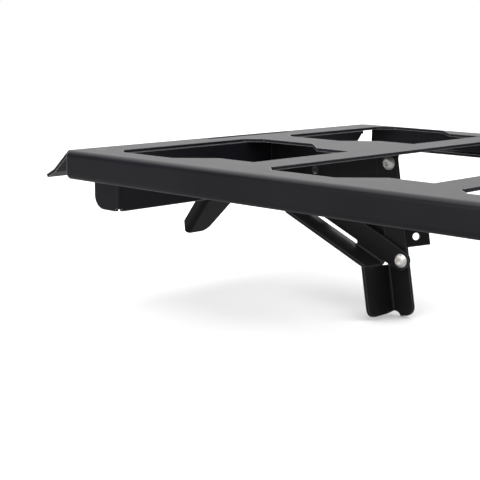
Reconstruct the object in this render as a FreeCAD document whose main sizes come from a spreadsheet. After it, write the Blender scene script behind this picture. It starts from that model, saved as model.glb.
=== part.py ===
import FreeCAD, Part
import math
import os

import Sketcher

# Folding luggage rack: a bent sheet-steel deck with windows, an end skirt under each end, and on
# each half a rail that carries a folding leg, its brace and, under the end strip, a swing hook.
# Frame: origin at the middle of the deck's top face, +X along the length, +Y away, +Z up.
# The left half is drawn as it is; the right half is the same with X mirrored (side = -1).

V = FreeCAD.Vector
X, Y, Z = 0, 1, 2
SIDES = {"left": 1, "right": -1}

SIZES = {
    # deck
    "skin": 2.5,                 # sheet thickness of every bent plate
    "bend_in": 2.0,              # inner radius of a bend
    "bend_out": 4.5,             # outer radius of a bend
    "deck_len": 589.0,
    "deck_deep": 351.0,
    "flange_tall": 20.5,
    "flange_lip": 8.0,
    "near_gap": 4.3,             # from the deck's end to the near flange's end
    "far_gap": 10.2,             # the same for the far flange
    "flare_half": 170.0,         # half the depth of the flared end flanges
    "strap_near": -37.0,         # strap slot beside the bend of each flared end
    "strap_far": 61.0,
    "strap_inside": 10.0,        # from the bend to the slot's inner and outer edges
    "strap_outside": 3.5,
    "end_strip": 27.0,
    "window_wide": 115.0,
    "bar_wide": 25.0,
    "near_strip": 23.0,
    "far_strip": 5.0,
    "jog_start": 61.0,
    "jog_size": 22.5,
    "midbar_at": 11.1,           # Y of the middle bar's centre line
    "midbar_half": 16.5,
    "window_nick": 11.0,         # 45 degree cut of a window's corners
    # end skirt
    "skirt_face": 266.5,         # inner face of the skirt's web, from the middle
    "skirt_tall": 44.2,
    "skirt_near": 148.1,
    "skirt_far": 137.0,
    "skirt_rake": 39.0,
    "cheek_end": 293.0,
    "cheek_round": 10.0,
    "relief_wide": 7.0,          # shallow relief under the bend between web and cheek
    "relief_tall": 1.6,
    "skirt_flange": 290.0,
    "skirt_flange_near": 163.0,
    "ear_low": 19.5,
    "ear_half": 5.5,
    "ear_thick": 2.5,
    # rail
    "rail_front": 14.5,
    "rail_end": 142.3,
    "rail_flange": 14.0,
    "rail_low_knee": 68.0,       # depth of the gusset behind the leg and brace
    "rail_low_slot": 57.0,
    "rail_low_end": 38.0,
    "rail_hole_at": 219.7,
    "rail_hole_z": 23.1,
    "rail_hole_rad": 3.0,
    # leg
    "pivot_at": 146.8,
    "pivot_z": 11.0,
    "leg_front": 11.5,
    "leg_tilt": 10.0,
    "leg_fold": 66.0,
    "leg_long": 114.5,
    "leg_right": 7.0,
    "leg_left": 11.5,            # the side plate above the web
    "leg_web": 29.5,
    "leg_head": 7.5,
    "leg_web_left": 13.5,
    "leg_web_top": 76.0,         # at the side plate; the web's near corner is higher
    "leg_web_rise": 3.2,
    "leg_web_low": 111.5,
    "leg_corner": 7.0,
    "knee_across": 3.2,          # brace bolt, from the leg's long axis
    "knee_down": 72.8,           # brace bolt, from the leg pivot
    "tab_top": 45.0,
    "tab_low": 63.5,
    "tab_long": 18.5,
    "tab_bend": 50.0,
    "tab_hole_rad": 2.75,
    # brace
    "brace_front": 8.5,
    "brace_long": 118.0,
    "brace_rise": 23.0,          # slope of the brace with the leg down
    "brace_fall": -12.0,          # the same with the leg folded
    "brace_eye": 6.5,            # radius of its two rounded ends
    "brace_up": 8.0,
    "brace_down": 12.75,
    "brace_web": 19.7,
    "brace_web_start": 13.5,
    "brace_web_end": 104.0,
    "relief_start": 41.0,
    "relief_end": 92.0,
    "relief_wide": 3.5,
    # swing hook
    "hook_at": 275.5,
    "hook_z": 14.0,
    "hook_tilt": 36.8,
    "hook_near": 28.3,
    "hook_wide": 34.0,
    "hook_half": 4.5,
    "hook_long": 81.0,
    "hook_ear": 48.0,            # length of the far lip, which ends above the taper
    "hook_taper": 11.0,
    "hook_slant": 6.5,           # the near lip's end is cut back towards its free edge
    # fasteners
    "shank": 3.0,                # M6 shank radius
    "shank_fit": 3.05,
    "slot_play": 0.75,            # radial play of the guide pin in the curved slot
    "head_rad": 5.25,
    "head_tall": 3.3,
    "socket_rad": 2.31,
    "socket_deep": 2.2,
    "hook_pin": 2.5,
    "rivet_rad": 3.0,
    "rivet_at": 278.5,
    "rivet_near": 153.3,
    "rivet_far": 120.0,
}

DOC = FreeCAD.newDocument("folding_luggage_rack")
SHEET = DOC.addObject("Spreadsheet::Sheet", "Sizes")
for row, (alias, number) in enumerate(SIZES.items(), start=1):
    SHEET.set("A%d" % row, alias)
    SHEET.set("B%d" % row, str(number))
    SHEET.setAlias("B%d" % row, alias)
DOC.recompute()


class Size:
    """A number together with the spreadsheet formula that gives it."""

    def __init__(self, value, text):
        self.value = float(value)
        self.text = text

    def __add__(self, other):
        other = as_size(other)
        return Size(self.value + other.value, "(%s + %s)" % (self.text, other.text))

    def __sub__(self, other):
        other = as_size(other)
        return Size(self.value - other.value, "(%s - %s)" % (self.text, other.text))

    def __rsub__(self, other):
        return as_size(other) - self

    def __mul__(self, other):
        other = as_size(other)
        return Size(self.value * other.value, "(%s * %s)" % (self.text, other.text))

    def __truediv__(self, other):
        other = as_size(other)
        return Size(self.value / other.value, "(%s / %s)" % (self.text, other.text))

    def __neg__(self):
        return Size(-self.value, "(-1 * %s)" % self.text)

    __radd__ = __add__
    __rmul__ = __mul__


def as_size(number):
    """A plain number as a Size."""
    return number if isinstance(number, Size) else Size(number, "%.6f" % number)


def cell(alias):
    """The Size of one spreadsheet cell."""
    return Size(SHEET.get(alias), "Sizes." + alias)


# ---------------------------------------------------------------- drawing helpers

# For each sketch plane: the axes that its own X and Y run along, the axis across it, and whether
# its normal runs along that axis (+1) or against it (-1).
PLANES = {"XY": (X, Y, Z, 1), "XZ": (X, Z, Y, -1), "YZ": (Y, Z, X, 1)}


def new_body(label):
    """An empty PartDesign body."""
    body = DOC.addObject("PartDesign::Body", label)
    body.Label = label
    return body


def new_sketch(body, plane):
    """An empty sketch on one of the body's own origin planes."""
    sketch = body.newObject("Sketcher::SketchObject", body.Label + "_sketch")
    support = [f for f in body.Origin.OriginFeatures if f.Role == plane + "_Plane"]
    sketch.AttachmentSupport = [(support[0], "")]
    sketch.MapMode = "FlatFace"
    return sketch


def pin_point(sketch, edge, end, point):
    """Fixes one end of a line, or the centre of a circle, at a point measured from the origin."""
    for kind, distance in zip(("DistanceX", "DistanceY"), point):
        distance = as_size(distance)
        index = sketch.addConstraint(Sketcher.Constraint(kind, -1, 1, edge, end, distance.value))
        if "Sizes." in distance.text:
            sketch.setExpression("Constraints[%d]" % index, distance.text)


def draw_polygon(sketch, corners):
    """A closed outline of straight lines through the corners."""
    points = [(as_size(a), as_size(b)) for a, b in corners]
    count = len(points)
    flat = [V(a.value, b.value, 0) for a, b in points]
    lines = [Part.LineSegment(flat[i], flat[(i + 1) % count]) for i in range(count)]
    first = sketch.GeometryCount
    sketch.addGeometry(lines, False)
    joins = [
        Sketcher.Constraint("Coincident", first + i, 2, first + (i + 1) % count, 1)
        for i in range(count)
    ]
    sketch.addConstraint(joins)
    for i, point in enumerate(points):
        pin_point(sketch, first + i, 1, point)


def draw_circle(sketch, centre, radius):
    """A circle whose centre and radius are held by the sheet."""
    centre = [as_size(c) for c in centre]
    radius = as_size(radius)
    middle = V(centre[0].value, centre[1].value, 0)
    edge = sketch.addGeometry(Part.Circle(middle, V(0, 0, 1), radius.value), False)
    index = sketch.addConstraint(Sketcher.Constraint("Radius", edge, radius.value))
    if "Sizes." in radius.text:
        sketch.setExpression("Constraints[%d]" % index, radius.text)
    pin_point(sketch, edge, 3, centre)


def draw_curves(sketch, curves):
    """A closed outline of lines and arcs that already meet end to end."""
    first = sketch.GeometryCount
    sketch.addGeometry(curves, False)
    for i in range(len(curves)):
        sketch.addConstraint(Sketcher.Constraint("Block", first + i))


def extrude(body, sketch, plane, start, end, cut=False):
    """Pads or pockets a sketch between two coordinates on the axis across its plane."""
    start, end = as_size(start), as_size(end)
    normal = PLANES[plane][3]
    begin = end if cut == (normal > 0) else start
    sketch.setExpression(".AttachmentOffset.Base.z", "%d * %s" % (normal, begin.text))
    before = volume_of(body)
    kind = "PartDesign::Pocket" if cut else "PartDesign::Pad"
    feature = body.newObject(kind, body.Label + ("_pocket" if cut else "_pad"))
    feature.Profile = sketch
    feature.setExpression("Length", (end - start).text)
    DOC.recompute()
    grown = feature.Shape.Volume - before
    if (grown >= 0) if cut else (grown <= 0):
        raise ValueError("%s changes nothing on %s" % (feature.Label, body.Label))
    return feature


def volume_of(body):
    """Volume of the body so far, 0 for an empty one."""
    return body.Tip.Shape.Volume if body.Tip else 0.0


def slab(body, plane, corners, start, end, cut=False):
    """A plate, or a cut, with a polygon outline between two coordinates."""
    sketch = new_sketch(body, plane)
    draw_polygon(sketch, corners)
    return extrude(body, sketch, plane, start, end, cut)


def drill(body, plane, centre, radius, start, end):
    """A round hole between two coordinates."""
    sketch = new_sketch(body, plane)
    draw_circle(sketch, centre, radius)
    return extrude(body, sketch, plane, start, end, cut=True)


def round_edges(body, radius, axis, spots, within=None):
    """Fillets the straight edges that run along axis through the given spots across it."""
    radius = as_size(radius)
    base = body.Tip
    across = [i for i in (X, Y, Z) if i != axis]
    wanted = [[as_size(c).value for c in spot] for spot in spots]
    names = []
    for number, edge in enumerate(base.Shape.Edges, start=1):
        if not isinstance(edge.Curve, (Part.Line, Part.LineSegment)):
            continue
        ends = [v.Point for v in edge.Vertexes]
        middle = (ends[0] + ends[-1]) / 2
        if max(abs(ends[0][i] - ends[-1][i]) for i in across) > 0.01:
            continue
        if within and not within[0] <= middle[axis] <= within[1]:
            continue
        place = [middle[i] for i in across]
        if any(math.dist(place, spot) < 0.05 for spot in wanted):
            names.append("Edge%d" % number)
    if len(names) < len(wanted):
        raise ValueError("%s: found %d edges for %d spots" % (body.Label, len(names), len(wanted)))
    fillet = body.newObject("PartDesign::Fillet", body.Label + "_fillet")
    fillet.Base = (base, names)
    fillet.setExpression("Radius", radius.text)
    DOC.recompute()
    return fillet


def straight(start, end):
    """A line as a one-item list, or nothing where the two points are the same."""
    return [Part.LineSegment(start, end)] if (end - start).Length > 0.001 else []


def bent_sheet(path):
    """Closed outline of a bent sheet: one face along the path, the other on its right side."""
    thick, tight, wide = cell("skin").value, cell("bend_in").value, cell("bend_out").value
    points = [V(a, b, 0) for a, b in path]
    runs = [(q - p).normalize() for p, q in zip(points, points[1:])]
    rights = [V(run.y, -run.x, 0) * thick for run in runs]
    front, back = [], []
    last, last_back = points[0], points[0] + rights[0]
    for i, point in enumerate(points[1:-1]):
        turn = math.asin(runs[i].cross(runs[i + 1]).z)
        radius, other = (wide, tight) if turn < 0 else (tight, wide)
        reach = radius * math.tan(abs(turn) / 2)
        start, end = point - runs[i] * reach, point + runs[i + 1] * reach
        start_back, end_back = start + rights[i], end + rights[i + 1]
        centre = start + rights[i] * (radius / thick if turn < 0 else -radius / thick)
        bulge = (point - centre).normalize()
        front += straight(last, start) + [Part.Arc(start, centre + bulge * radius, end)]
        back += straight(start_back, last_back)
        back.append(Part.Arc(end_back, centre + bulge * other, start_back))
        last, last_back = end, end_back
    tip, tip_back = points[-1], points[-1] + rights[-1]
    front += straight(last, tip) + straight(tip, tip_back)
    back += straight(tip_back, last_back)
    return front + back[::-1] + straight(points[0] + rights[0], points[0])


def mirrored(side, corners):
    """The corners of a left-hand outline, with X turned round for the right-hand one."""
    return [(side * as_size(a), b) for a, b in corners]


def span(side, low, high):
    """Two X coordinates of the left half, in rising order on either side."""
    ends = [side * as_size(low), side * as_size(high)]
    return sorted(ends, key=lambda size: size.value)


def tilt_about_y(body, side, at, front, down, degrees):
    """Places a body drawn around its pivot: turned about +Y, then moved to the pivot."""
    turned = FreeCAD.Rotation(V(0, 1, 0), side * degrees.value)
    body.Placement = FreeCAD.Placement(V(0, 0, 0), turned)
    body.setExpression(".Placement.Base.x", (-side * at).text)
    body.setExpression(".Placement.Base.y", front.text)
    body.setExpression(".Placement.Base.z", (-down).text)


# ---------------------------------------------------------------- deck

SKIN = cell("skin")
HALF_LEN = cell("deck_len") / 2
HALF_DEEP = cell("deck_deep") / 2
PITCH = cell("window_wide") + cell("bar_wide")
COLUMNS = 4
LEG_COLUMNS = (1, 2)


def window_corners(column, low_edge, high_edge, low_jog, high_jog):
    """Outline of one window. Each long edge is straight, then steps in after the jog."""
    left = cell("end_strip") - HALF_LEN + PITCH * column
    right = left + cell("window_wide")
    jog = left + cell("jog_start")
    step = cell("jog_size")
    nick = cell("window_nick")
    return [
        (left + nick, low_edge),
        (jog, low_edge),
        (jog + low_jog, low_edge + low_jog),
        (right, low_edge + low_jog),
        (right, high_edge - high_jog),
        (jog + step, high_edge - high_jog),
        (jog + step - high_jog, high_edge),
        (left + nick, high_edge),
        (left, high_edge - nick),
        (left, low_edge + nick),
    ]


def flare_path():
    """Top line of the deck's two flared ends, from the left lip to the right lip."""
    half = HALF_LEN.value
    left = [(-half - 26.5, -20.0), (-half - 17.5, -15.4), (-half, 0.0)]
    right = [(-a, b) for a, b in left[::-1]]
    return left + right


def make_deck():
    """The deck: top plate, near and far flanges with lips, flared ends, and its windows."""
    body = new_body("rack_deck")
    half, tall, lip = HALF_DEEP, cell("flange_tall"), cell("flange_lip")
    inner = half - SKIN
    profile = [
        (-half, 0), (half, 0), (half, -tall), (half - lip, -tall), (half - lip, SKIN - tall),
        (inner, SKIN - tall), (inner, -SKIN), (-inner, -SKIN), (-inner, SKIN - tall),
        (lip - half, SKIN - tall), (lip - half, -tall), (-half, -tall),
    ]
    reach = HALF_LEN - cell("near_gap")
    slab(body, "YZ", profile, -reach, reach)
    outer = [(-half, 0), (half, 0), (-half, -tall), (half, -tall)]
    bends = [(-inner, -SKIN), (inner, -SKIN), (-inner, SKIN - tall), (inner, SKIN - tall)]
    round_edges(body, cell("bend_out"), X, outer)
    round_edges(body, cell("bend_in"), X, bends)

    far_end = HALF_LEN - cell("far_gap")
    inside = half - cell("bend_out")
    for side in SIDES.values():
        low, high = span(side, far_end, reach + 1)
        box = [(low, inside), (high, inside), (high, half + 1), (low, half + 1)]
        slab(body, "XY", box, -tall - 1, 1, cut=True)

    flare = new_sketch(body, "XZ")
    draw_curves(flare, bent_sheet(flare_path()))
    extrude(body, flare, "XZ", -cell("flare_half"), cell("flare_half"))

    strap_low, strap_high = cell("strap_near"), cell("strap_far")
    corner = cell("flare_half")
    for side in SIDES.values():
        low, high = span(side, HALF_LEN - cell("strap_inside"), HALF_LEN - cell("strap_outside"))
        slot = [(low, strap_low), (high, strap_low), (high, strap_high), (low, strap_high)]
        slab(body, "XY", slot, -SKIN - 1, 1, cut=True)
        low, high = span(side, HALF_LEN + 3, HALF_LEN + 40)
        slant = [(corner - 9, -17), (corner - 9, -30), (corner + 1, -30), (corner + 1, 0)]
        slab(body, "YZ", slant, low, high, cut=True)

    midbar, thin = cell("midbar_at"), cell("midbar_half")
    low_edge = cell("near_strip") - half
    high_edge = half - cell("far_strip")
    step = cell("jog_size")
    for column in range(COLUMNS):
        if column in LEG_COLUMNS:
            spans = [(low_edge, high_edge)]
        else:
            spans = [(low_edge, midbar - thin), (midbar + thin, high_edge)]
        for low, high in spans:
            outline = window_corners(column, low, high, step, step)
            slab(body, "XY", outline, -SKIN - 1, 1, cut=True)

    for x, y in rivet_places():
        drill(body, "XY", (x, y), cell("rivet_rad") + 0.05, -SKIN - 1, 1)
    return body


def rivet_places():
    """Plan positions of the rivets that hold the end skirts."""
    return [
        (side * cell("rivet_at"), y)
        for side in SIDES.values()
        for y in (-cell("rivet_near"), cell("rivet_far"))
    ]


# ---------------------------------------------------------------- end skirt

def make_end_skirt(name, side):
    """Skirt under one end: top flange, web across the depth, near cheek, and two hook ears."""
    body = new_body(name + "_end_skirt")
    face, tall, near = cell("skirt_face"), cell("skirt_tall"), cell("skirt_near")
    low, high = span(side, -face - SKIN, -face)
    web = [
        (-near, -SKIN), (cell("skirt_far"), -SKIN),
        (cell("skirt_far") - cell("skirt_rake"), -tall), (-near, -tall),
    ]
    slab(body, "YZ", web, low, high)
    cheek = mirrored(side, [
        (-face, -SKIN), (-face, -tall), (-cell("cheek_end"), -tall), (-cell("cheek_end"), -SKIN),
    ])
    slab(body, "XZ", cheek, -near, SKIN - near)
    edge, step = cell("skirt_flange"), HALF_LEN - cell("strap_inside") - 1
    near_slot, far_slot = cell("strap_near") - 2, cell("strap_far") + 2
    flange = mirrored(side, [
        (-face, -cell("skirt_flange_near")), (-face, cell("skirt_far")),
        (-edge, cell("skirt_far")), (-edge, far_slot), (-step, far_slot),
        (-step, near_slot), (-edge, near_slot), (-edge, -cell("skirt_flange_near")),
    ])
    slab(body, "XY", flange, -2 * SKIN, -SKIN)
    round_edges(body, cell("cheek_round"), Y, [(-side * cell("cheek_end"), -tall)])
    round_edges(body, cell("bend_out"), Z, [(-side * face, -near)])
    round_edges(body, cell("bend_in"), Z, [(-side * (face + SKIN), SKIN - near)])
    reach = cell("relief_wide")
    relief = mirrored(side, [
        (-face + 1, -near - 1), (-face + 1, reach - near), (-face - reach, reach - near),
        (-face - reach, -near - 1),
    ])
    slab(body, "XY", relief, -tall - 1, cell("relief_tall") - tall, cut=True)
    for x, y in rivet_places():
        if (x.value < 0) == (side > 0):
            drill(body, "XY", (x, y), cell("rivet_rad") + 0.05, -2 * SKIN - 1, 0)

    pivot, half = cell("hook_at"), cell("ear_half")
    ear = mirrored(side, [
        (-pivot - half, -SKIN), (-pivot + half, -SKIN),
        (-pivot + half, -cell("ear_low")), (-pivot - half, -cell("ear_low")),
    ])
    for start in ear_places():
        slab(body, "XZ", ear, start, start + cell("ear_thick"))
    drill(body, "XZ", (-side * pivot, -cell("hook_z")), cell("hook_pin") + 0.05, -60, 60)
    corners = [(-side * (pivot - half), -cell("ear_low")), (-side * (pivot + half), -cell("ear_low"))]
    round_edges(body, 4.0, Y, corners)
    return body


def ear_places():
    """Y of the front face of the near and the far hook ear, half a millimetre off the hook."""
    near = -cell("hook_near")
    return (near - cell("ear_thick") - 0.5, near + cell("hook_wide") + 0.5)


# ---------------------------------------------------------------- linkage geometry

def leg_point(across, down, fold):
    """A point of the left leg, in X and Z, with the leg folded by that many degrees."""
    angle = math.radians(cell("leg_tilt").value + fold)
    x = -cell("pivot_at").value + across * math.cos(angle) + down * math.sin(angle)
    z = -cell("pivot_z").value + across * math.sin(angle) - down * math.cos(angle)
    return x, z


def guide_point(fold):
    """Centre of the guide pin, the brace turning in step with the leg."""
    share = fold / cell("leg_fold").value
    rise = cell("brace_rise").value
    slope = math.radians(rise + (cell("brace_fall").value - rise) * share)
    x, z = leg_point(cell("knee_across").value, cell("knee_down").value, fold)
    long = cell("brace_long").value
    return x - long * math.cos(slope), z + long * math.sin(slope)


def guide_arc(side):
    """Circle through the guide pin's first, middle and last place, and those places."""
    fold = cell("leg_fold").value
    places = [guide_point(fold * share) for share in (0, 0.5, 1)]
    places = [V(side * x, z, 0) for x, z in places]
    circle = Part.Circle(*places)
    return circle.Center, circle.Radius, places


def draw_guide_slot(sketch, side):
    """Outline of the curved slot that the guide pin runs in."""
    centre, radius, (start, middle, end) = guide_arc(side)
    half = cell("shank").value + cell("slot_play").value

    def moved(point, distance):
        return centre + (point - centre).normalize() * distance

    def cap(point, away):
        outward = (point - away).normalize()
        across = (point - centre).normalize()
        beyond = outward - across * outward.dot(across)
        return point + beyond.normalize() * half

    draw_curves(sketch, [
        Part.Arc(*[moved(p, radius + half) for p in (start, middle, end)]),
        Part.Arc(moved(end, radius + half), cap(end, middle), moved(end, radius - half)),
        Part.Arc(*[moved(p, radius - half) for p in (end, middle, start)]),
        Part.Arc(moved(start, radius - half), cap(start, middle), moved(start, radius + half)),
    ])


# ---------------------------------------------------------------- rail

def make_rail(name, side):
    """Rail under the middle bar: an angle with the leg pivot hole and the curved guide slot."""
    body = new_body(name + "_leg_rail")
    end, face = cell("rail_end"), cell("skirt_face")
    knee, low = cell("rail_low_knee"), cell("rail_low_slot")
    plate = mirrored(side, [
        (-face, -SKIN), (-end, -SKIN), (-end, -42), (-end - 4, -knee), (-end - 15, -knee),
        (-end - 36, -low), (-end - 90, -low), (-end - 112, -cell("rail_low_end")),
        (-face, -cell("rail_low_end")),
    ])
    front = cell("rail_front")
    slab(body, "XZ", plate, front, front + SKIN)
    flange = mirrored(side, [(-face, -SKIN), (-end, -SKIN), (-end, -2 * SKIN), (-face, -2 * SKIN)])
    slab(body, "XZ", flange, front, front + cell("rail_flange"))
    round_edges(body, cell("bend_in"), X, [(front + SKIN, -2 * SKIN)])
    pivot = (-side * cell("pivot_at"), -cell("pivot_z"))
    drill(body, "XZ", pivot, cell("shank_fit"), 0, 40)
    extra = (-side * cell("rail_hole_at"), -cell("rail_hole_z"))
    drill(body, "XZ", extra, cell("rail_hole_rad"), 0, 40)
    sketch = new_sketch(body, "XZ")
    draw_guide_slot(sketch, side)
    extrude(body, sketch, "XZ", front - 1, front + SKIN + 1, cut=True)
    return body


# ---------------------------------------------------------------- leg

def make_leg(name, side):
    """Folding leg, drawn hanging from its pivot: side plate, web with a foot, and a bent tab."""
    body = new_body(name + "_leg")
    right, left, long = cell("leg_right"), cell("leg_left"), cell("leg_long")
    head, web_left, web_top = cell("leg_head"), cell("leg_web_left"), cell("leg_web_top")
    flat, high, low = web_left - cell("bend_out"), web_top - cell("leg_web_rise"), cell("leg_web_low")
    near = -cell("leg_web")
    path = [(-web_left.value, near.value), (-web_left.value, SKIN.value)]
    path.append((-flat.value, SKIN.value))
    angle = new_sketch(body, "XY")
    draw_curves(angle, bent_sheet(path if side > 0 else [(-a, b) for a, b in path[::-1]]))
    extrude(body, angle, "XY", -long, -high)
    far_x, near_x = span(side, -web_left - 1, 1)
    top = [(near - 1, -high), (SKIN + 1, -web_top), (SKIN + 1, 1 - high), (near - 1, 1 - high)]
    slab(body, "YZ", top, far_x, near_x, cut=True)
    bottom = [(near - 1, -low), (-cell("bend_out"), -low), (-cell("bend_in"), -long - 1),
              (near - 1, -long - 1)]
    slab(body, "YZ", bottom, far_x, near_x, cut=True)
    round_edges(body, cell("leg_corner"), X, [(near, -low)])
    plate = mirrored(side, [
        (right, head), (right, -long), (-flat, -long), (-flat, -web_top),
        (-left, -web_top), (-left, head),
    ])
    slab(body, "XZ", plate, 0, SKIN)
    round_edges(body, cell("leg_corner") - 0.1, Y, [
        (side * right, head), (side * right, -long), (-side * left, head),
    ])

    bend = math.radians(cell("tab_bend").value)
    reach = (math.cos(bend), math.sin(bend))
    tab_long, skin = cell("tab_long").value, SKIN.value
    tip = (right.value + tab_long * reach[0], tab_long * reach[1])
    tab = mirrored(side, [
        (right, 0), tip, (tip[0] - skin * reach[1], tip[1] + skin * reach[0]),
        (right - skin * math.tan(bend / 2), skin),
    ])
    slab(body, "XY", tab, -cell("tab_low"), -cell("tab_top"))
    return finish_leg(body, side, tip)


def finish_leg(body, side, tip):
    """Holes of the leg, its notch at the foot, and the slant of the tab's lower edge."""
    long, right = cell("leg_long"), cell("leg_right")
    drill(body, "XZ", (0, 0), cell("shank_fit"), -1, 4)
    drill(body, "XZ", (side * cell("knee_across"), -cell("knee_down")), cell("shank_fit"), -1, 4)
    notch = (-side * (cell("leg_web_left") - 3.5), -long - 1.0)
    drill(body, "XZ", notch, 5.0, -7, 4)

    sketch = new_sketch(body, "XZ")
    turned = FreeCAD.Rotation(V(0, 1, 0), side * cell("tab_bend").value)
    sketch.AttachmentOffset = FreeCAD.Placement(V(side * right.value, 0, 0), turned)
    middle = (cell("tab_top") + cell("tab_low")) / 2 + 2.0
    draw_circle(sketch, (side * 8.5, -middle), cell("tab_hole_rad"))
    before = volume_of(body)
    pocket = body.newObject("PartDesign::Pocket", body.Label + "_tab_hole")
    pocket.Profile = sketch
    pocket.SideType = "Symmetric"
    pocket.Length = 12.0
    DOC.recompute()
    if pocket.Shape.Volume >= before:
        raise ValueError("the tab hole cuts nothing on " + body.Label)
    tilt_about_y(body, side, cell("pivot_at"), cell("leg_front"), cell("pivot_z"), -cell("leg_tilt"))
    return body


# ---------------------------------------------------------------- brace

def make_brace(name, side):
    """Brace, drawn level from its lower bolt: side plate, web below, relief slot in the bend."""
    body = new_body(name + "_brace")
    up, down, long = cell("brace_up"), cell("brace_down"), cell("brace_long")
    eye, flat = cell("brace_eye"), down - cell("bend_out")
    plate = mirrored(side, [
        (eye, eye), (eye, -eye), (-cell("brace_web_start"), -flat), (-cell("brace_web_end"), -flat),
        (-long - eye, -eye), (-long - eye, eye), (16 - long, up), (-16, up),
    ])
    slab(body, "XZ", plate, 0, SKIN)
    low, high = span(side, -cell("brace_web_end"), -cell("brace_web_start"))
    skin, fall = SKIN.value, down.value
    angle = new_sketch(body, "YZ")
    path = [(skin, -flat.value), (skin, -fall), (-cell("brace_web").value, -fall)]
    draw_curves(angle, bent_sheet(path))
    extrude(body, angle, "YZ", low, high)
    tips = [(side * x, z) for x in (eye, -long - eye) for z in (eye, -eye)]
    round_edges(body, eye - 0.1, Y, tips)
    round_edges(body, 6.0, Z, [(-side * cell("brace_web_end"), -cell("brace_web"))])

    half = cell("relief_wide") / 2
    middle = SKIN - down + half
    start, end = cell("relief_start"), cell("relief_end")
    slot = mirrored(side, [
        (-start - half, middle + half), (-start - half, middle - half),
        (-end + half, middle - half), (-end + half, middle + half),
    ])
    slab(body, "XZ", slot, -cell("bend_in"), SKIN + 1, cut=True)
    for x in (start + half, end - half):
        drill(body, "XZ", (-side * x, middle), half - 0.01, -cell("bend_in"), SKIN + 1)
    drill(body, "XZ", (0, 0), cell("shank_fit"), -1, 4)
    drill(body, "XZ", (-side * long, 0), cell("shank_fit"), -1, 4)

    x, z = leg_point(cell("knee_across").value, cell("knee_down").value, 0)
    turned = FreeCAD.Rotation(V(0, 1, 0), side * cell("brace_rise").value)
    body.Placement = FreeCAD.Placement(V(side * x, cell("brace_front").value, z), turned)
    body.setExpression(".Placement.Base.y", cell("brace_front").text)
    return body


# ---------------------------------------------------------------- swing hook

def make_hook(name, side):
    """Swing hook, drawn hanging from its pin: a tapered channel whose far lip ends above the taper."""
    body = new_body(name + "_swing_hook")
    half, long, wide = cell("hook_half"), cell("hook_long"), cell("hook_wide")
    lip = mirrored(side, [(half, half), (half, -half), (-half, -half), (-half, half)])
    slab(body, "XZ", lip, 0, SKIN)
    slab(body, "XZ", lip, wide - SKIN, wide)
    round_edges(body, half - 0.1, Y, [(half, half), (-half, half)])
    far, edge, ear = wide.value, half.value, cell("hook_ear")
    channel = [(-edge, far), (edge, far), (edge, 0), (-edge, 0)]
    for path, start, end in ((channel, -ear, -3), (channel[1:], -long, -ear)):
        sketch = new_sketch(body, "XY")
        draw_curves(sketch, bent_sheet(path if side > 0 else [(-a, b) for a, b in path[::-1]]))
        extrude(body, sketch, "XY", start, end)
    tip = wide - cell("hook_taper")
    taper = [(wide, -ear), (wide + 1, -ear), (wide + 1, -long - 1), (tip, -long - 1), (tip, -long)]
    low, high = span(side, -half - 1, half + 1)
    slab(body, "YZ", taper, low, high, cut=True)
    round_edges(body, 9.0, X, [(tip, -long)])
    back = cell("hook_slant") - long
    end = mirrored(side, [(-half - 1, back), (-half, back), (half - 3, -long), (-half - 1, -long - 1)])
    slab(body, "XZ", end, -1, SKIN + 1, cut=True)
    round_edges(body, 2.0, Y, [(-side * half, back)])
    drill(body, "XZ", (0, 0), cell("hook_pin") + 0.05, -1, wide + 1)
    tilt_about_y(body, side, cell("hook_at"), -cell("hook_near"), cell("hook_z"), cell("hook_tilt"))
    return body


# ---------------------------------------------------------------- fasteners

HEAD_TOWARDS_NEAR = FreeCAD.Rotation(V(1, 0, 0), 90)


def make_bolt(label, x, seat, z, shank_long):
    """Button-head bolt with a hexagon socket, its head facing -Y with its seat at Y = seat."""
    body = new_body(label)
    rad, tall, shank = cell("head_rad").value, cell("head_tall").value, cell("shank").value
    rim, crown = 0.6, 2.9
    dome_z = (rim ** 2 - tall ** 2 + rad ** 2 - crown ** 2) / (2 * (rim - tall))
    dome = math.hypot(rad, rim - dome_z)
    mean = (rad + crown) / 2
    bulge = V(mean, dome_z + math.sqrt(dome ** 2 - mean ** 2), 0)
    corners = [
        V(0, tall, 0), V(0, -shank_long, 0), V(shank - 0.6, -shank_long, 0),
        V(shank, 0.6 - shank_long, 0), V(shank, 0, 0), V(rad, 0, 0), V(rad, rim, 0),
    ]
    curves = [Part.LineSegment(a, b) for a, b in zip(corners, corners[1:])]
    curves.append(Part.Arc(corners[-1], bulge, V(crown, tall, 0)))
    curves.append(Part.LineSegment(V(crown, tall, 0), corners[0]))
    sketch = new_sketch(body, "XZ")
    draw_curves(sketch, curves)
    turn = body.newObject("PartDesign::Revolution", label + "_turned")
    turn.Profile = sketch
    turn.ReferenceAxis = (sketch, ["V_Axis"])
    turn.Angle = 360.0
    DOC.recompute()
    socket = cell("socket_rad").value
    angles = [math.radians(60 * i) for i in range(6)]
    hexagon = [(socket * math.cos(a), socket * math.sin(a)) for a in angles]
    slab(body, "XY", hexagon, cell("head_tall") - cell("socket_deep"), cell("head_tall") + 1, cut=True)
    body.Placement = FreeCAD.Placement(V(x, seat, z), HEAD_TOWARDS_NEAR)
    return body


def cylinder(label, radius, height):
    """A plain Part cylinder along +Z."""
    solid = DOC.addObject("Part::Cylinder", label)
    solid.setExpression("Radius", as_size(radius).text)
    solid.setExpression("Height", as_size(height).text)
    return solid


def make_ring(label, x, z, front, back, outer, inner):
    """A washer, collar or clip around an axis along Y, from Y = front to Y = back."""
    thick = as_size(back) - front
    ring = DOC.addObject("Part::Cut", label)
    ring.Label = label
    ring.Base = cylinder(label + "_disc", outer, thick)
    ring.Tool = cylinder(label + "_hole", inner, thick)
    ring.Placement = FreeCAD.Placement(V(x, as_size(back).value, z), HEAD_TOWARDS_NEAR)
    return ring


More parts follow.
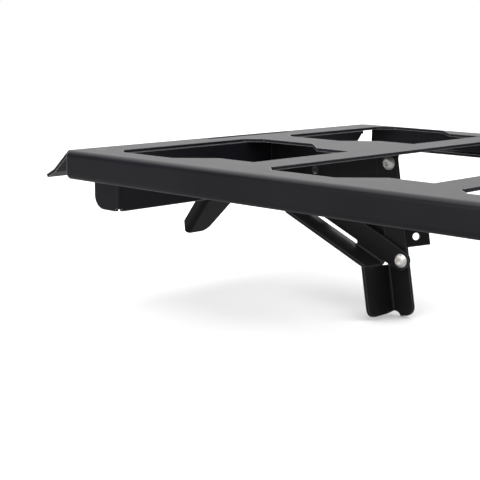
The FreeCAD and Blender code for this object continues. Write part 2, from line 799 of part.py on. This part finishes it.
def make_pin(label, radius, head_radius, x, z, seat, back, head, tail=0.0):
    """A headed pin along Y: its head in front of seat, its shank to back, then a formed head."""
    parts = [
        (head_radius, seat - head, seat),
        (radius, seat - 0.2, back),
    ]
    if tail:
        parts.append((head_radius, back, back + tail))
    solids = []
    for number, (rad, front, end) in enumerate(parts):
        disc = cylinder("%s_part%d" % (label, number), rad, end - front)
        disc.Placement = FreeCAD.Placement(V(0, 0, -end), FreeCAD.Rotation())
        solids.append(disc)
    pin = DOC.addObject("Part::MultiFuse", label)
    pin.Label = label
    pin.Shapes = solids
    pin.Placement = FreeCAD.Placement(V(x, 0, z), HEAD_TOWARDS_NEAR)
    return pin


def make_rivets():
    """The four flush rivets that hold the end skirts, as one group of separate solids."""
    radius = SHEET.get("rivet_rad")
    grip = 2 * SKIN.value
    solids = []
    for x, y in rivet_places():
        foot = V(x.value, y.value, -grip)
        shank = Part.makeCylinder(radius, grip, foot)
        tail = Part.makeCone(radius, 1.5 * radius, 1.2, foot - V(0, 0, 1.2))
        solids.append(shank.fuse(tail).removeSplitter())
    group = DOC.addObject("Part::Feature", "skirt_rivets")
    group.Label = "skirt_rivets"
    group.Shape = Part.makeCompound(solids)
    return group


def make_fasteners(name, side):
    """The bolts, nuts, washers and pins of one half."""
    leg_front, rail_front = cell("leg_front"), cell("rail_front")
    leg_back, rail_back = leg_front + SKIN, rail_front + SKIN
    x, z = -side * cell("pivot_at").value, -cell("pivot_z").value
    made = [
        make_bolt(name + "_pivot_bolt", x, leg_front.value, z, rail_back.value - leg_front.value),
        make_ring(name + "_pivot_washer", x, z, leg_back, rail_front, 4.4, cell("shank_fit")),
    ]
    knee_x, knee_z = leg_point(cell("knee_across").value, cell("knee_down").value, 0)
    knee_x = side * knee_x
    brace_front = cell("brace_front")
    brace_back = brace_front + SKIN
    knee_grip = leg_back.value - brace_front.value
    made += [
        make_bolt(name + "_brace_bolt", knee_x, brace_front.value, knee_z, knee_grip),
        make_ring(name + "_brace_washer", knee_x, knee_z, brace_back, leg_front, 5.5,
                  cell("shank_fit")),
    ]
    pin_x, pin_z = guide_point(0)
    pin_x = side * pin_x
    made += [
        make_pin(name + "_guide_pin", cell("shank"), 5.5, pin_x, pin_z,
                 brace_front.value, rail_back.value + 2.5, 1.5),
        make_ring(name + "_guide_spacer", pin_x, pin_z, brace_back, rail_front - 0.2, 5.0,
                  cell("shank")),
        make_ring(name + "_guide_clip", pin_x, pin_z, rail_back + 0.3, rail_back + 1.5, 6.0,
                  cell("shank")),
    ]
    near_ear, far_ear = [place.value for place in ear_places()]
    hook_x, hook_z = -side * cell("hook_at").value, -cell("hook_z").value
    made.append(make_pin(name + "_hook_pin", cell("hook_pin"), 4.2, hook_x, hook_z,
                         near_ear, far_ear + cell("ear_thick").value, 1.4, tail=1.4))
    return made


# ---------------------------------------------------------------- assembly and export

pieces = [make_deck(), make_rivets()]
for hand, side in SIDES.items():
    pieces.append(make_end_skirt(hand, side))
    pieces.append(make_rail(hand, side))
    pieces.append(make_leg(hand, side))
    pieces.append(make_brace(hand, side))
    pieces.append(make_hook(hand, side))
    pieces += make_fasteners(hand, side)
DOC.recompute()

for thing in DOC.Objects:
    if "Invalid" in thing.State or "Error" in thing.State:
        raise RuntimeError("%s did not recompute: %s" % (thing.Label, thing.State))
for piece in pieces:
    if piece.Shape.isNull() or not piece.Shape.isValid():
        raise RuntimeError("%s has no valid shape" % piece.Label)

os.makedirs("parts", exist_ok=True)
for piece in pieces:
    piece.Shape.exportStep("parts/%s.step" % piece.Label)
    print("%-26s %2d solid(s) %10.1f mm3" % (
        piece.Label, len(piece.Shape.Solids), piece.Shape.Volume))
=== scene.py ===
import math

import bpy
from mathutils import Matrix, Vector


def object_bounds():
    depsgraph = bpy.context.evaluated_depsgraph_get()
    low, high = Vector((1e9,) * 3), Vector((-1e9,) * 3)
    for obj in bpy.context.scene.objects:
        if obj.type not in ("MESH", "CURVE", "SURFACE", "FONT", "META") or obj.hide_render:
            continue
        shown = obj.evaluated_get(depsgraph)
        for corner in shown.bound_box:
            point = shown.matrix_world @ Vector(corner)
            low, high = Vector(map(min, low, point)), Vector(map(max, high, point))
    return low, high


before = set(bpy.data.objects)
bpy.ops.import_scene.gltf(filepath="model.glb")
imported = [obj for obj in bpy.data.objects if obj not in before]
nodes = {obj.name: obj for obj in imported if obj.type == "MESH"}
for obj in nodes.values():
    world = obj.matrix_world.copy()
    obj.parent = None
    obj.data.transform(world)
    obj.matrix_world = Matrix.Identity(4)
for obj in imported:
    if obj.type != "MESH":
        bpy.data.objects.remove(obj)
cad_box = [list(corner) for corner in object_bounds()]


# ---------------------------------------------------------------- materials

def new_material(name):
    """A material with a bare Principled shader."""
    made = bpy.data.materials.new(name)
    made.use_nodes = True
    tree = made.node_tree
    tree.nodes.clear()
    out = tree.nodes.new("ShaderNodeOutputMaterial")
    shader = tree.nodes.new("ShaderNodeBsdfPrincipled")
    tree.links.new(shader.outputs["BSDF"], out.inputs["Surface"])
    return made, tree, shader


def noise(tree, scale, detail=2.0, rough=0.5):
    """Noise that is fixed to the piece."""
    coords = tree.nodes.new("ShaderNodeTexCoord")
    made = tree.nodes.new("ShaderNodeTexNoise")
    made.inputs["Scale"].default_value = scale
    made.inputs["Detail"].default_value = detail
    made.inputs["Roughness"].default_value = rough
    tree.links.new(coords.outputs["Object"], made.inputs["Vector"])
    return made.outputs["Fac"]


def remap(tree, value, low, high, start=0.3, end=0.7):
    """The value, spread from start..end over low..high."""
    made = tree.nodes.new("ShaderNodeMapRange")
    made.inputs["From Min"].default_value = start
    made.inputs["From Max"].default_value = end
    made.inputs["To Min"].default_value = low
    made.inputs["To Max"].default_value = high
    tree.links.new(value, made.inputs["Value"])
    return made.outputs["Result"]


def mix_colours(tree, share, first, second):
    """The first colour where share is 0, the second where it is 1."""
    made = tree.nodes.new("ShaderNodeMix")
    made.data_type = "RGBA"
    made.inputs["A"].default_value = (*first, 1)
    made.inputs["B"].default_value = (*second, 1)
    tree.links.new(share, made.inputs["Factor"])
    return made.outputs["Result"]


def edge_wear_and_highlight(tree, radius):
    """1 near sharp edges, 0 on the flats."""
    bevel = tree.nodes.new("ShaderNodeBevel")
    bevel.samples = 4
    bevel.inputs["Radius"].default_value = radius
    geometry = tree.nodes.new("ShaderNodeNewGeometry")
    dot = tree.nodes.new("ShaderNodeVectorMath")
    dot.operation = "DOT_PRODUCT"
    tree.links.new(bevel.outputs["Normal"], dot.inputs[0])
    tree.links.new(geometry.outputs["Normal"], dot.inputs[1])
    return remap(tree, dot.outputs["Value"], 1.0, 0.0, 0.80, 0.99)


def bump(tree, shader, height, strength, distance):
    """Bumps the shader's normal by a height."""
    made = tree.nodes.new("ShaderNodeBump")
    made.inputs["Strength"].default_value = strength
    made.inputs["Distance"].default_value = distance
    tree.links.new(height, made.inputs["Height"])
    tree.links.new(made.outputs["Normal"], shader.inputs["Normal"])


def powder_coat(name, dark, light, roughness, sheen, worn_and_lit):
    """Black powder coat: fine orange peel, cloudy gloss, and paler edges that are partly rubbed paint
    and partly a painted highlight where edges and bends catch light.
    """
    made, tree, shader = new_material(name)
    cloud = remap(tree, noise(tree, 14.0, 3.0), 0.0, 1.0)
    base = mix_colours(tree, cloud, dark, light)
    # pale edges: rubbed paint together with a painted highlight along edges and bends
    rubbed_and_lit = mix_colours(tree, edge_wear_and_highlight(tree, 0.0012), dark, worn_and_lit)
    blend = tree.nodes.new("ShaderNodeMix")
    blend.data_type = "RGBA"
    blend.blend_type = "LIGHTEN"
    blend.inputs["Factor"].default_value = 1.0
    tree.links.new(base, blend.inputs["A"])
    tree.links.new(rubbed_and_lit, blend.inputs["B"])
    tree.links.new(blend.outputs["Result"], shader.inputs["Base Color"])
    gloss = remap(tree, noise(tree, 30.0, 4.0, 0.6), roughness - 0.01, roughness + 0.02)
    tree.links.new(gloss, shader.inputs["Roughness"])
    shader.inputs["Specular IOR Level"].default_value = sheen
    bump(tree, shader, noise(tree, 1600.0, 2.0, 0.55), 0.25, 0.00008)
    return made


def bare_metal(name, colour, roughness, grain, metallic):
    """Turned or plated metal with fine turning marks and a cloudy polish."""
    made, tree, shader = new_material(name)
    cloud = remap(tree, noise(tree, 180.0, 3.0), 0.0, 1.0)
    paler = tuple(min(1.0, c * 1.15) for c in colour)
    tree.links.new(mix_colours(tree, cloud, colour, paler), shader.inputs["Base Color"])
    shader.inputs["Metallic"].default_value = metallic
    gloss = remap(tree, noise(tree, 700.0, 2.0), roughness - 0.05, roughness + 0.08)
    tree.links.new(gloss, shader.inputs["Roughness"])
    bump(tree, shader, noise(tree, grain, 2.0), 0.15, 0.00004)
    return made


# the last colour of each coat is its pale edge colour: rubbed paint with a painted highlight
COAT = powder_coat("powder_coat", (0.008, 0.007, 0.010), (0.011, 0.010, 0.014), 0.34, 0.27,
                   (0.30, 0.30, 0.32))
# the same powder coat painted darker for the linkage under the deck: painted shade, with a dimmer
# painted edge highlight
COAT_SHADED = powder_coat("powder_coat_painted_shade", (0.004, 0.004, 0.005), (0.009, 0.009, 0.010),
                         0.36, 0.25, (0.07, 0.07, 0.075))
STAINLESS = bare_metal("stainless_bolt", (0.95, 0.91, 0.87), 0.42, 900.0, 0.6)
ZINC = bare_metal("zinc_plate", (0.10, 0.10, 0.10), 0.42, 1200.0, 1.0)

PLATED = ("_washer", "_clip", "_pin", "_spacer")
EDGE, SMALL_EDGE = 0.0005, 0.00012     # rounding that catches light on sheet and on small turned parts


def finish_of(name):
    """The material of a CAD node."""
    if name.endswith("_bolt"):
        return STAINLESS
    if name.endswith(PLATED):
        return ZINC
    # the parts under the deck get the darker copy of the coat, which is painted shade
    if name.endswith(("_leg", "_brace", "_swing_hook", "_leg_rail")):
        return COAT_SHADED
    return COAT


def soften_edges(node, width):
    """A small rounded edge that catches light; the node's shape stays as it is."""
    soften = node.modifiers.new("edges", "BEVEL")
    soften.width = width
    soften.segments = 2
    soften.limit_method = "ANGLE"
    soften.angle_limit = math.radians(40)
    soften.harden_normals = True


for name, node in nodes.items():
    node.data.materials.clear()
    node.data.materials.append(finish_of(name))
    small = name.endswith((*PLATED, "_bolt"))
    soften_edges(node, SMALL_EDGE if small else EDGE)


# ---------------------------------------------------------------- floor, light and camera

FLOOR_Z = cad_box[0][2] - 0.0005
FLOOR_SEEN = (0.95, 0.95, 0.95)
FLOOR_BOUNCE = (0.30, 0.30, 0.30)
FLOOR_REACH = 3.5

# the pale parts of the studio: direction, strength, and where along that direction it starts
# and is full (1 is straight at it)
WALLS = (
    ((-0.68, 0.71, 0.16), 0.85, 0.6, 1.0),
    ((0.0, -1.0, 0.03), 2.9, 0.74, 1.0),
)
ROOM = 0.06


def camera_share(tree):
    """1 for what the camera sees directly, 0 for light that bounces."""
    return tree.nodes.new("ShaderNodeLightPath").outputs["Is Camera Ray"]


def make_floor():
    """A wide pale floor that throws little light back up."""
    mesh = bpy.data.meshes.new("floor")
    corners = [(-1, -1), (1, -1), (1, 1), (-1, 1)]
    mesh.from_pydata([(x * FLOOR_REACH, y * FLOOR_REACH, FLOOR_Z) for x, y in corners], [],
                     [(0, 1, 2, 3)])
    floor = bpy.data.objects.new("floor", mesh)
    bpy.context.scene.collection.objects.link(floor)
    made, tree, shader = new_material("floor")
    shade = mix_colours(tree, camera_share(tree), FLOOR_BOUNCE, FLOOR_SEEN)
    tree.links.new(shade, shader.inputs["Base Color"])
    shader.inputs["Roughness"].default_value = 0.95
    shader.inputs["Specular IOR Level"].default_value = 0.0
    mesh.materials.append(made)


def add_light(name, place, target, size, power):
    """A large soft area light aimed at a point."""
    data = bpy.data.lights.new(name, "AREA")
    data.shape = "RECTANGLE"
    data.size, data.size_y = size
    data.energy = power
    lamp = bpy.data.objects.new(name, data)
    lamp.location = place
    aim = Vector(target) - Vector(place)
    lamp.rotation_mode = "QUATERNION"
    lamp.rotation_quaternion = aim.to_track_quat("-Z", "Y")
    bpy.context.scene.collection.objects.link(lamp)


def make_world():
    """A dim studio with a pale far wall and a smaller pale screen on the near side."""
    world = bpy.data.worlds.new("studio")
    world.use_nodes = True
    tree = world.node_tree
    sky = tree.nodes["Background"]
    coords = tree.nodes.new("ShaderNodeTexCoord")
    room = tree.nodes.new("ShaderNodeValue")
    room.outputs["Value"].default_value = ROOM
    total = room.outputs["Value"]
    for direction, strength, start, full in WALLS:
        along = tree.nodes.new("ShaderNodeVectorMath")
        along.operation = "DOT_PRODUCT"
        along.inputs[1].default_value = Vector(direction).normalized()
        tree.links.new(coords.outputs["Generated"], along.inputs[0])
        add = tree.nodes.new("ShaderNodeMath")
        add.operation = "ADD"
        tree.links.new(remap(tree, along.outputs["Value"], 0.0, strength, start, full), add.inputs[0])
        tree.links.new(total, add.inputs[1])
        total = add.outputs["Value"]
    seen = tree.nodes.new("ShaderNodeMix")
    seen.data_type = "FLOAT"
    tree.links.new(camera_share(tree), seen.inputs["Factor"])
    tree.links.new(total, seen.inputs["A"])
    seen.inputs["B"].default_value = 1.0
    tree.links.new(seen.outputs["Result"], sky.inputs["Strength"])
    sky.inputs["Color"].default_value = (1.0, 1.0, 1.0, 1)
    bpy.context.scene.world = world


def make_light():
    """The studio walls and a wide lamp overhead."""
    make_world()
    add_light("overhead", (0.0, 0.3, 4.0), (0, 0, 0), (10.0, 10.0), 720.0)


CAMERA_PLACE = (0.3526, -0.6788, 0.0856)
HEADING, PITCH, ROLL = (math.radians(angle) for angle in (43.28, -10.43, 0.51))


def make_camera():
    """The camera at the photograph's viewing angle."""
    data = bpy.data.cameras.new("camera")
    data.sensor_width = 36.0
    data.lens = 86.1
    data.clip_start, data.clip_end = 0.01, 50.0
    camera = bpy.data.objects.new("camera", data)
    turn = Matrix.Rotation(HEADING, 4, "Z") @ Matrix.Rotation(math.radians(90) + PITCH, 4, "X")
    camera.matrix_world = Matrix.Translation(CAMERA_PLACE) @ turn @ Matrix.Rotation(ROLL, 4, "Z")
    bpy.context.scene.collection.objects.link(camera)
    bpy.context.scene.camera = camera


make_floor()
make_light()
make_camera()
bpy.context.scene.view_settings.view_transform = "Standard"
